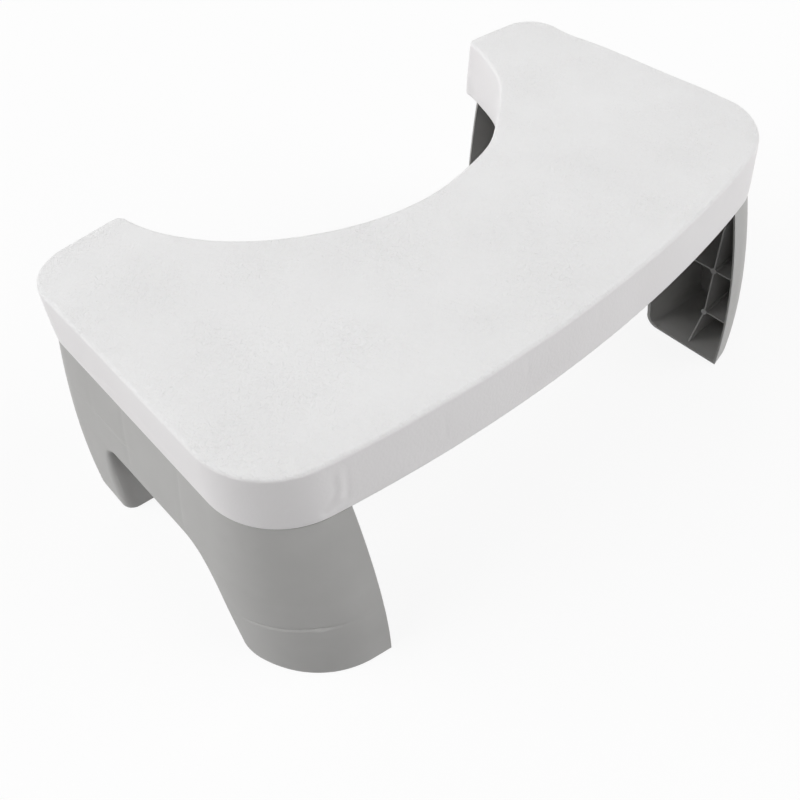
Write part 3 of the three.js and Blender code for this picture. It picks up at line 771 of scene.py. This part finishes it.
ARCH_CONTROL_SHARES = ((0.146, 0.51), (0.506, 1))
ARCH_STEPS = {"toe": 14, "rise": 40, "crest": 12, "shoulder": 24, "rear": 36}


def arch_outline(draft, grow):
    """The arch between the feet, in Y and Z. draft narrows it, and grow moves its edge into the leg."""
    corner_z = LEG_BOTTOM + FOOT_CORNER
    front_edge, rear_edge = ARCH_FRONT + draft, ARCH_REAR - draft
    front_y = front_edge - FOOT_CORNER
    rise = ARCH_PEAK_HEIGHT - draft - FOOT_CORNER
    run = ARCH_PEAK - front_edge
    crest = LEG_BOTTOM + ARCH_PEAK_HEIGHT - draft + grow
    start_y = front_edge - grow
    low_share, high_share = ARCH_CONTROL_SHARES
    rising = curve_points([
        (start_y, corner_z),
        (start_y + run * low_share[0], corner_z + rise * low_share[1]),
        (start_y + run * high_share[0], corner_z + rise * high_share[1] + grow),
        (ARCH_PEAK, crest),
    ], ARCH_STEPS["rise"])
    shoulder = rear_edge - ARCH_REAR_RADIUS
    shoulder_z = LEG_BOTTOM + ARCH_REAR_HEIGHT - draft - ARCH_REAR_RADIUS
    wide = ARCH_REAR_RADIUS + grow
    turn = ARCH_PEAK + ARCH_CREST_ROUND
    away = math.hypot(turn - shoulder, crest - shoulder_z)
    touch = math.atan2(crest - shoulder_z, turn - shoulder) - math.acos(wide / away)
    slope = -1 / math.tan(touch)
    level = curve_points([
        (ARCH_PEAK, crest), (turn, crest), (turn + ARCH_CREST_ROUND, crest + slope * ARCH_CREST_ROUND),
    ], ARCH_STEPS["crest"])[1:]
    end_y = rear_edge + grow
    down = np.linspace(shoulder_z, LEG_BOTTOM - 1, ARCH_STEPS["rear"])
    toe = arc(front_y, corner_z, FOOT_CORNER - grow, -math.pi / 2, 0, ARCH_STEPS["toe"])[0][:-1]
    return np.concatenate([
        [(front_y, LEG_BOTTOM - OVERRUN)],
        toe,
        rising,
        level,
        arc(shoulder, shoulder_z, wide, touch, 0, ARCH_STEPS["shoulder"])[0][:-1],
        np.stack([np.full(len(down), end_y), down], 1),
        [(end_y, LEG_BOTTOM - OVERRUN)],
    ])


def arch_body(grow, rounded=False):
    """The arch as a body along X, with draft. rounded widens its mouth, which rounds the leg's outer edge."""
    near = LEG_OPEN_X - OVERRUN / 2
    outside = DECK_HALF_WIDTH + SIDE_FLARE
    far = outside + OVERRUN
    drafts = [ARCH_DRAFT * (outside - x) / (outside - LEG_OPEN_X) for x in (near, far)]
    shapes = [arch_outline(draft, grow)[::-1] for draft in drafts]
    count = len(shapes[0])

    def section(x, push=0.0):
        share = ((x - near) / (far - near))[:, None]
        plane = shapes[0] * (1 - share) + shapes[1] * share
        way = np.gradient(plane, axis=0)
        way /= np.linalg.norm(way, axis=1)[:, None]
        plane = plane + np.stack([way[:, 1], -way[:, 0]], 1) * np.reshape(push, (-1, 1))
        return np.stack([x, plane[:, 0], plane[:, 1]], 1)

    rings = [section(np.full(count, near))]
    push = 0.0
    if rounded:
        y, z = shapes[1].T
        surface = DECK_HALF_WIDTH - LEG_INSET + SIDE_FLARE * flare_at(np.maximum(z, LEG_BOTTOM))
        behind = np.clip((y - FOOT_ROUND_START_Y) / FOOT_ROUND_RUN, 0, 1)
        low_down = np.clip((FOOT_ROUND_TOP - z) / FOOT_ROUND_RUN, FOOT_ROUND_LEAST_SHARE, 1)
        radius = EDGE_ROUND + (FOOT_ROUND - EDGE_ROUND) * behind * low_down
        for angle in np.linspace(math.pi / 2, 0, ROUND_STEPS):
            inside = radius * (1 - math.cos(angle))
            rings.append(section(surface - inside, radius * (1 - math.sin(angle))))
        # The mouth opens on past the surface, so that its edge meets it at a low angle.
        push = radius + MOUTH_WIDER
        rings.append(section(surface + MOUTH_OUT, push))
    rings.append(section(np.full(count, far), push))
    return ring_solid(rings)


def sheet_y(edge, y0, y1):
    """A flat body between two places along Y. Its edge is in X and Z, anticlockwise seen from the front."""
    edge = np.array(edge, float)[::-1]
    return ring_solid([np.stack([edge[:, 0], np.full(len(edge), y), edge[:, 1]], 1) for y in (y0, y1)])


def upright_rib(y, bottom):
    top = LEG_TOP - LEG_TOP_PLATE / 2
    edge = [(LEG_OPEN_X + UPPER_SETBACK, UPPER_RIB), (LEG_OPEN_X, top), (LEG_FAR_X, top), (LEG_FAR_X, bottom)]
    if bottom < LOWER_RIB:
        edge += [(LEG_OPEN_X + FLOOR_SETBACK, bottom), (LEG_OPEN_X + LOWER_SETBACK, LOWER_RIB)]
    return sheet_y(edge[::-1], y - RIB / 2, y + RIB / 2)


def level_rib(setback, y0, y1, z):
    return box_solid(LEG_OPEN_X + setback, LEG_FAR_X, y0, y1, z - RIB / 2, z + RIB / 2)


def leg_ribs():
    """All ribs and bosses as one body that reaches past the walls."""
    body = upright_rib(RIB_FRONT, RIB_START)
    others = [
        upright_rib(RIB_REAR, RIB_START),
        level_rib(UPPER_SETBACK, -OVERRUN, RIB_REAR, UPPER_RIB),
        level_rib(LOWER_SETBACK, -FRONT_FLARE, RIB_FRONT, LOWER_RIB),
        level_rib(LOWER_SETBACK, RIB_REAR, LEG_BACK_Y, LOWER_RIB),
        level_rib(SHORT_RIB_SETBACK, *SHORT_RIB_PLACE, SHORT_RIB),
    ]
    others += [upright_rib(y, UPPER_RIB) for y in ARCH_RIBS]
    for y in (RIB_FRONT, RIB_REAR):
        for z, setback in ((UPPER_RIB, UPPER_SETBACK), (LOWER_RIB, LOWER_SETBACK)):
            start = LEG_OPEN_X + setback - BOSS_PROUD
            others.append(bar_solid("x", y, z, BOSS_RADIUS, start, LEG_FAR_X))
    for other in others:
        combine(body, other, "UNION")
    return body


def pad_pocket(front):
    """The room for a foot pad under one foot."""
    top = LEG_BOTTOM + PAD_POCKET
    body = leg_body(LEG_BOTTOM - OVERRUN, top, PAD_INSET)
    if front:
        y0, y1 = -FRONT_FLARE, ARCH_FRONT - FOOT_CORNER - PAD_FOOT_MARGIN
    else:
        y0, y1 = ARCH_REAR + FOOT_CORNER + PAD_FOOT_MARGIN, DECK_SIDE_END + REAR_FLARE + ARM_END_RISE
    clip = box_solid(LEG_OPEN_X + PAD_OPEN_MARGIN, DECK_HALF_WIDTH + SIDE_FLARE, y0, y1,
                     LEG_BOTTOM - 2 * OVERRUN, top)
    return combine(body, clip, "INTERSECT")


def floor_wedge():
    """What is taken off the leg's floor towards its open side."""
    floor = LEG_BOTTOM + LEG_FLOOR
    thin, full = floor - FLOOR_THIN, floor + FLOOR_OVER
    start_x = LEG_OPEN_X - FLOOR_RUN
    edge = [(start_x, thin), (LEG_OPEN_X, thin), (LEG_OPEN_X + FLOOR_FADE, full), (start_x, full)]
    room = leg_body(LEG_BOTTOM, LEG_BOTTOM + FLOOR_ROOM_HEIGHT, LEG_WALL - RIM_THIN + FLOOR_WALL_CLEAR)
    return combine(sheet_y(edge, -OVERRUN, LEG_BACK_Y), room, "INTERSECT")


def add_hinge(leg, y):
    """A knuckle under the top plate, the bore through it, and notches that the deck's lugs pass."""
    half = LUG_LENGTH / 2 + HINGE_GAP
    for at in (y - LUG_OFFSET, y + LUG_OFFSET):
        notch = box_solid(LEG_OPEN_X - OVERRUN, LEG_OPEN_X + BARREL_RADIUS + NOTCH_MARGIN,
                          at - half, at + half, LEG_TOP - NOTCH_DEPTH, LEG_TOP + OVERRUN)
        combine(leg, notch, "DIFFERENCE")
    y0, y1 = y - KNUCKLE_LENGTH / 2, y + KNUCKLE_LENGTH / 2
    combine(leg, box_solid(LEG_OPEN_X, LEG_OPEN_X + KNUCKLE_WEB, y0, y1, HINGE_Z, LEG_TOP), "UNION")
    combine(leg, bar_solid("y", HINGE_Z, LEG_OPEN_X, BARREL_RADIUS, y0, y1), "UNION")
    bore = bar_solid("y", HINGE_Z, LEG_OPEN_X, BORE_RADIUS, y - BORE_REACH, y + BORE_REACH)
    combine(leg, bore, "DIFFERENCE")


def right_leg():
    leg = leg_body(LEG_BOTTOM, LEG_TOP, 0.0, step=2.2, marked=True)
    open_side = box_solid(LEG_OPEN_X, LEG_FAR_X, -FRONT_FLARE - OVERRUN, LEG_BACK_Y, 0, LEG_TOP + 1)
    combine(leg, open_side, "INTERSECT")
    form = duplicate(leg, "tool")
    ribs = combine(combine(leg_ribs(), arch_body(LEG_WALL), "UNION"), form, "INTERSECT")
    hollow = leg_body(LEG_BOTTOM + LEG_FLOOR, LEG_TOP - LEG_TOP_PLATE, LEG_WALL, step=3.0,
                      thin_rim=RIM_THIN)
    combine(leg, hollow, "DIFFERENCE")
    combine(leg, floor_wedge(), "DIFFERENCE")
    combine(leg, ribs, "UNION")
    combine(leg, arch_body(0, rounded=True), "DIFFERENCE")
    for y in HINGE_STATIONS:
        add_hinge(leg, y)
    for front in (True, False):
        combine(leg, pad_pocket(front), "DIFFERENCE")
    return leg


def mirrored(source, name):
    mesh = source.data.copy()
    mesh.transform(Matrix.Diagonal((-1, 1, 1, 1)))
    mesh.flip_normals()
    made = bpy.data.objects.new(name, mesh)
    bpy.context.scene.collection.objects.link(made)
    return made


def finish_leg(leg):
    leg.data.shade_smooth()
    leg.data.set_sharp_from_angle(angle=LEG_SHARP_ANGLE)


# Materials

class Nodes:
    """The nodes of a material or world: each call makes one, sets its inputs and links what is passed."""

    def __init__(self, holder):
        holder.use_nodes = True
        self.tree = holder.node_tree
        self.tree.nodes.clear()

    def add(self, kind, settings=(), **inputs):
        node = self.tree.nodes.new(kind)
        for key, value in dict(settings).items():
            setattr(node, key, value)
        for key, value in inputs.items():
            self.put(node.inputs[key.replace("_", " ")], value)
        return node

    def put(self, socket, value):
        if isinstance(value, bpy.types.NodeSocket):
            self.tree.links.new(value, socket)
        else:
            socket.default_value = value

    def math(self, operation, first, second):
        node = self.add("ShaderNodeMath", {"operation": operation})
        self.put(node.inputs[0], first)
        self.put(node.inputs[1], second)
        return node.outputs["Value"]

    def noise(self, place, scale, detail, **inputs):
        return self.add("ShaderNodeTexNoise", Vector=place, Scale=scale, Detail=detail, **inputs).outputs

    def bump(self, height, distance, strength, settings=(), **inputs):
        node = self.add("ShaderNodeBump", settings, Height=height, Distance=distance, Strength=strength,
                        **inputs)
        return node.outputs["Normal"]

    def ramp(self, value, low, high, start=0.0, end=1.0):
        node = self.add("ShaderNodeValToRGB", Fac=value)
        for stop, colour, place in zip(node.color_ramp.elements, (low, high), (start, end)):
            stop.color = (*colour, 1)
            stop.position = place
        return node.outputs["Color"]

    def spread(self, value, low, high, start=0.0, end=1.0):
        node = self.add("ShaderNodeMapRange", Value=value, From_Min=start, From_Max=end, To_Min=low,
                        To_Max=high)
        return node.outputs["Result"]


# Slow variation, of colour or of how strong wrinkles are, is spread over this part of the noise's range.
TONE_START = 0.3
TONE_END = 0.7
MOULDED_TONE_SCALE = 22.0
MOULDED_GRAIN_STRENGTH = 0.6
ROUGHNESS_SPREAD = 0.05


def moulded(name, dark, light, rough, grain_scale=1700.0, grain_depth=0.00004, metallic=0.0, gloss=0.5):
    """Moulded plastic, rubber, foam or metal: slow colour variation and a fine surface texture."""
    material = bpy.data.materials.new(name)
    n = Nodes(material)
    place = n.add("ShaderNodeTexCoord").outputs["Object"]
    slow = n.noise(place, MOULDED_TONE_SCALE, 3.0)["Fac"]
    grain = n.noise(place, grain_scale, 2.0)["Fac"]
    colour = n.ramp(slow, dark, light, TONE_START, TONE_END)
    bump = n.bump(grain, grain_depth, MOULDED_GRAIN_STRENGTH)
    shader = n.add("ShaderNodeBsdfPrincipled", Base_Color=colour, Normal=bump, Metallic=metallic)
    n.put(shader.inputs["Specular IOR Level"], gloss)
    roughness = n.spread(slow, rough - ROUGHNESS_SPREAD, rough + ROUGHNESS_SPREAD)
    n.put(shader.inputs["Roughness"], roughness)
    n.add("ShaderNodeOutputMaterial", Surface=shader.outputs["BSDF"])
    return material


# The skin's sides are painted a shade lighter than its top, as painted light standing in for light on the
# sides, and are a shade warmer. The two meet high on the rounded edge, so the edge keeps the top's darker
# tone, which paints shade over the edge's highlight.
TOP_TONES = ((0.785, 0.781, 0.782), (0.815, 0.812, 0.813))
SIDE_TONES_PAINTED_LIGHT = ((0.88, 0.862, 0.867), (0.905, 0.89, 0.894))
TOP_TONE_START = (TOP_EDGE - 2.2) * MM
TOP_TONE_END = (TOP_EDGE - 0.4) * MM
# Scales of its patterns, in repeats per metre
SKIN_TONE_SCALE = 14.0
PEBBLE_SCALE = 620.0
PEBBLE_BEND_SCALE = 350.0
GRAIN_SCALE = 1500.0
WRINKLE_SCALE = 430.0
PATCH_SCALE = 24.0
# Lengths in metres: how far the pebbles are bent, and how deep each pattern is
PEBBLE_BEND = 0.0009
PEBBLE_DEPTH = 0.00018
GRAIN_DEPTH = 0.00005
WRINKLE_DEPTH = 0.0010


def leather(name):
    """White coated fabric with a fine leather grain, wavy wrinkles on the top, and sides painted lighter than
    the top as painted light.
    """
    material = bpy.data.materials.new(name)
    n = Nodes(material)
    place = n.add("ShaderNodeTexCoord").outputs["Object"]
    bent = n.add("ShaderNodeMix", {"data_type": "RGBA", "blend_type": "LINEAR_LIGHT"})
    n.put(bent.inputs["Factor"], PEBBLE_BEND)
    n.put(bent.inputs["A"], place)
    n.put(bent.inputs["B"], n.noise(place, PEBBLE_BEND_SCALE, 2.0)["Color"])
    pebbles = n.add("ShaderNodeTexVoronoi", {"feature": "SMOOTH_F1"}, Vector=bent.outputs["Result"],
                    Scale=PEBBLE_SCALE).outputs["Distance"]
    slow = n.noise(place, SKIN_TONE_SCALE, 3.0)["Fac"]
    fine = n.noise(place, GRAIN_SCALE, 3.0)["Fac"]
    height = n.add("ShaderNodeSeparateXYZ", Vector=place).outputs["Z"]
    # Painted light: the sides get the lighter tone, and the rounded edge keeps the top's darker tone as
    # painted shade over its highlight.
    on_top = n.spread(height, 0.0, 1.0, TOP_TONE_START, TOP_TONE_END)
    side_tone_painted_light = n.ramp(slow, *SIDE_TONES_PAINTED_LIGHT, TONE_START, TONE_END)
    top_tone = n.ramp(slow, *TOP_TONES, TONE_START, TONE_END)
    tone = n.add("ShaderNodeMix", {"data_type": "RGBA"}, Factor=on_top, A=side_tone_painted_light, B=top_tone)
    # Wrinkles about 2 mm apart, stronger in some patches than in others
    wrinkle = n.noise(place, WRINKLE_SCALE, 2.0, Distortion=0.8)["Fac"]
    patch = n.spread(n.noise(place, PATCH_SCALE, 2.0)["Fac"], 0.4, 1.0, TONE_START, TONE_END)
    wrinkled = n.bump(wrinkle, WRINKLE_DEPTH, n.math("MULTIPLY", patch, on_top))
    pebbled = n.bump(pebbles, PEBBLE_DEPTH, 0.5, {"invert": True}, Normal=wrinkled)
    grained = n.bump(fine, GRAIN_DEPTH, 0.4, Normal=pebbled)
    shader = n.add("ShaderNodeBsdfPrincipled", Base_Color=tone.outputs["Result"], Normal=grained)
    n.put(shader.inputs["Roughness"], n.spread(pebbles, 0.55, 0.72))
    n.put(shader.inputs["Specular IOR Level"], 0.25)
    n.add("ShaderNodeOutputMaterial", Surface=shader.outputs["BSDF"])
    return material


MATERIALS = {
    "cover": leather("cover_leather"),
    "leg": moulded("leg_plastic", (0.43, 0.426, 0.418), (0.47, 0.466, 0.458), 0.55, gloss=0.3),
    "tray": moulded("tray_plastic", (0.68, 0.68, 0.67), (0.74, 0.74, 0.73), 0.5),
    "rubber": moulded("foot_rubber", (0.055, 0.055, 0.055), (0.075, 0.075, 0.073), 0.8, 900.0, 0.0001),
    "steel": moulded("plated_steel", (0.55, 0.56, 0.58), (0.68, 0.69, 0.71), 0.33, 2600.0, 0.00002, 1.0),
    "foam": moulded("foam_core", (0.62, 0.58, 0.46), (0.70, 0.66, 0.54), 0.95, 800.0, 0.0003),
}


def dress(thing, key):
    thing.data.materials.clear()
    thing.data.materials.append(MATERIALS[key])


# Pieces on their bodies

top = padded_top()
dress(top, "cover")
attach(top, "deck")
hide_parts("top_cover", "foam_pad")

tray = drawn_tray(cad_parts["deck_tray"])
dress(tray, "tray")
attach(tray, "deck")
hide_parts("deck_tray")

leg_right = right_leg()
leg_right.name = "leg_shell_right"
finish_leg(leg_right)
leg_left = mirrored(leg_right, "leg_shell_left")
finish_leg(leg_left)
for shell, side in ((leg_right, "right"), (leg_left, "left")):
    dress(shell, "leg")
    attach(shell, side + "_leg")
    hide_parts(side + "_leg")

# The solids' materials, by a word in the node's name; the first that fits counts.
NODE_MATERIALS = [
    ("foam_pad", "foam"), ("foot_pad", "rubber"), ("screw", "steel"), ("pin", "steel"),
    ("cover", "cover"), ("tray", "tray"), ("plate", "leg"), ("leg", "leg"),
]
for name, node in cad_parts.items():
    dress(node, next(key for word, key in NODE_MATERIALS if word in name))


# Camera, lamps, floor

# The camera is fitted to the photo: rows of its matrix, with its place in metres in the last column.
CAMERA_MATRIX = Matrix((
    (0.737998, 0.528867, -0.419116, -0.311258),
    (-0.674271, 0.553286, -0.489115, -0.318418),
    (-0.026786, 0.643564, 0.764924, 0.509228),
    (0, 0, 0, 1),
))
CAMERA_LENS = 38.434
CAMERA_SENSOR = 36.0
NEAREST_SEEN = 0.01

# How wide each lamp is, in degrees
SUN_SPREAD = 60.0
# Lamps: name, azimuth from +X towards +Y and elevation in degrees, strength
SUNS = [
    ("key", 150, 45, 1.8),
    ("left", 150, 20, 1.05),
    ("back", 75, 28, 0.7),
    ("front_right", 315, 20, 2.5),
    ("front_low", 240, 8, 0.5),
]

WHITE = (1, 1, 1, 1)
WORLD_LIGHT = 0.03
FLOOR_SIZE = 12.0
FLOOR_GLOW = 0.9
FLOOR_UNSEEN_TONE = (0.2, 0.2, 0.2)
FLOOR_SEEN_TONE = (0.85, 0.85, 0.85)

scene = bpy.context.scene
scene.view_settings.view_transform = "Standard"

camera_data = bpy.data.cameras.new("camera")
camera_data.sensor_fit = "HORIZONTAL"
camera_data.sensor_width = CAMERA_SENSOR
camera_data.lens = CAMERA_LENS
camera_data.clip_start = NEAREST_SEEN
camera = bpy.data.objects.new("camera", camera_data)
scene.collection.objects.link(camera)
camera.matrix_world = CAMERA_MATRIX
scene.camera = camera


def soft_sun(name, azimuth, elevation, strength):
    """Even light from a wide patch of sky."""
    data = bpy.data.lights.new(name, "SUN")
    data.energy = strength
    data.angle = math.radians(SUN_SPREAD)
    lamp = bpy.data.objects.new(name, data)
    scene.collection.objects.link(lamp)
    across, up = math.radians(azimuth), math.radians(elevation)
    toward = Vector((math.cos(up) * math.cos(across), math.cos(up) * math.sin(across), math.sin(up)))
    lamp.rotation_euler = (-toward).to_track_quat("-Z", "Y").to_euler()


def seen_rays(n):
    """1 for rays that show the surroundings: camera, glossy and transmission rays."""
    rays = n.add("ShaderNodeLightPath").outputs
    shown = n.math("MAXIMUM", rays["Is Camera Ray"], rays["Is Glossy Ray"])
    return n.math("MAXIMUM", shown, rays["Is Transmission Ray"])


def white_world():
    """A world that looks white and lights the object a little from all round."""
    world = bpy.data.worlds.new("studio")
    n = Nodes(world)
    level = n.spread(seen_rays(n), WORLD_LIGHT, 1.0)
    back = n.add("ShaderNodeBackground", Color=WHITE, Strength=level)
    n.add("ShaderNodeOutputWorld", Surface=back.outputs["Background"])
    return world


def white_floor():
    """A floor that looks near white with a light shadow, and throws little light back under the stool."""
    material = bpy.data.materials.new("floor_white")
    n = Nodes(material)
    seen = seen_rays(n)
    plain = n.add("ShaderNodeBsdfDiffuse", Color=n.ramp(seen, FLOOR_UNSEEN_TONE, FLOOR_SEEN_TONE))
    white = n.add("ShaderNodeEmission", Color=WHITE, Strength=1.0)
    mix = n.add("ShaderNodeMixShader", Fac=n.spread(seen, 0.0, FLOOR_GLOW))
    n.put(mix.inputs[1], plain.outputs["BSDF"])
    n.put(mix.inputs[2], white.outputs["Emission"])
    n.add("ShaderNodeOutputMaterial", Surface=mix.outputs["Shader"])
    bpy.ops.mesh.primitive_plane_add(size=FLOOR_SIZE, location=(0, 0, 0))
    floor = bpy.context.object
    floor.name = "floor"
    floor.data.materials.append(material)
    return floor


for sun in SUNS:
    soft_sun(*sun)
scene.world = white_world()
white_floor()
